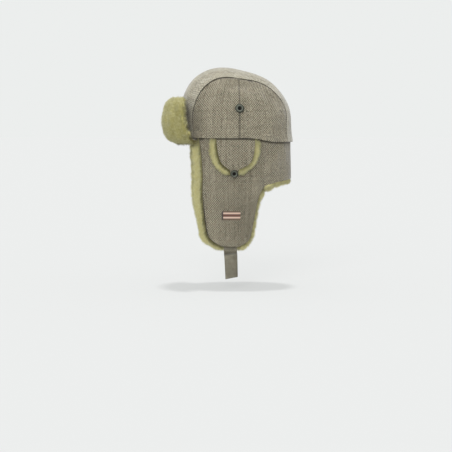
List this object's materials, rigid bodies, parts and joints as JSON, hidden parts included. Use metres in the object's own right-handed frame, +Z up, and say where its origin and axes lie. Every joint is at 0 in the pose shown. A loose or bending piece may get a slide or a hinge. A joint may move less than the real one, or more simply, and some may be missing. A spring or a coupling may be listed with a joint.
{
  "type": "trapper hat",
  "caption": "Ushanka of tweed lined with deep pile: rounded crown, turned-up forehead flap, long ear flaps with ear covers and straps, and a neck flap, in the form it keeps on a head.",
  "frame": {"origin": "centre of the head opening, at the level of the crown's lower edge", "axes": "+Z up through the crown, the forehead faces -Y, the wearer's left ear is on +X"},
  "size_m": [0.1896, 0.2634, 0.4143],
  "materials": {
    "tweed": "matte woven wool, salt and pepper",
    "tweed_lit": "the same tweed, lighter where the light meets it",
    "pile": "deep soft olive pile",
    "metal": "dark brushed snap metal",
    "strap_cloth": "matte tweed strap, darker",
    "label_weave": "fine woven stripes"
  },
  "bodies": {
    "root": {"top_band": "tweed_lit", "side_panel_left_front": "tweed", "side_panel_left_rear": "tweed", "side_panel_right_front": "tweed", "side_panel_right_rear": "tweed", "neck_flap": "tweed", "front_flap_cloth": "tweed", "ear_flap_left": "tweed", "ear_flap_right": "tweed", "ear_cover_left": "tweed", "ear_cover_right": "tweed", "neck_fur": "pile", "front_flap_fur": "pile", "ear_fur_left": "pile", "ear_fur_right": "pile", "ear_cover_fur_left": "pile", "ear_cover_fur_right": "pile", "snap_stud_left": "metal", "snap_stud_right": "metal", "snap_cap_left": "metal", "snap_cap_right": "metal", "strap_left": "strap_cloth", "strap_right": "strap_cloth", "label": "label_weave"}
  },
  "joints": []
}
